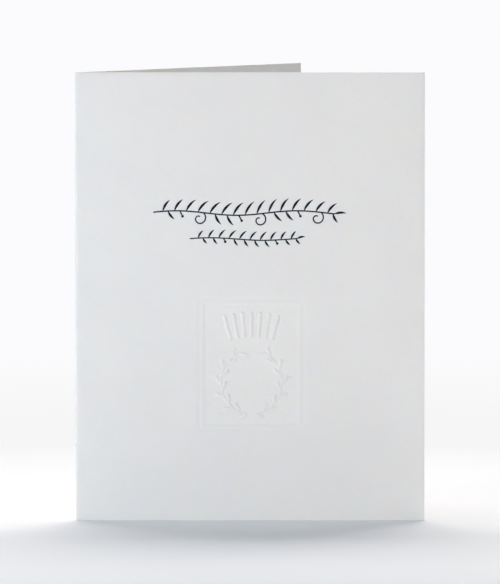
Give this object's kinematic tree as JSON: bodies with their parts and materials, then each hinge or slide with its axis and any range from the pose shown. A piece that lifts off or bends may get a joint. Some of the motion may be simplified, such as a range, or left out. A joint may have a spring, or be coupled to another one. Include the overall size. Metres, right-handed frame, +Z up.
{
  "type": "greeting card",
  "caption": "Folded greeting card of thick white cotton paper, standing open, with navy pressed sprigs and a blind relief panel on its front.",
  "frame": {"origin": "centre of the card's footprint box, on the surface that it stands on", "axes": "+Z up along the crease; the front panel faces -Y with its crease edge at -X, and the back panel runs from the crease towards +X and +Y"},
  "size_m": [0.1086, 0.0834, 0.1397],
  "materials": {
    "paper": "matte, soft uncoated cotton with a fine tooth",
    "ink": "thin film of navy printing ink, satin"
  },
  "bodies": {
    "root": {"card": "paper", "long_sprig_ink": "ink", "short_sprig_ink": "ink"}
  },
  "joints": []
}
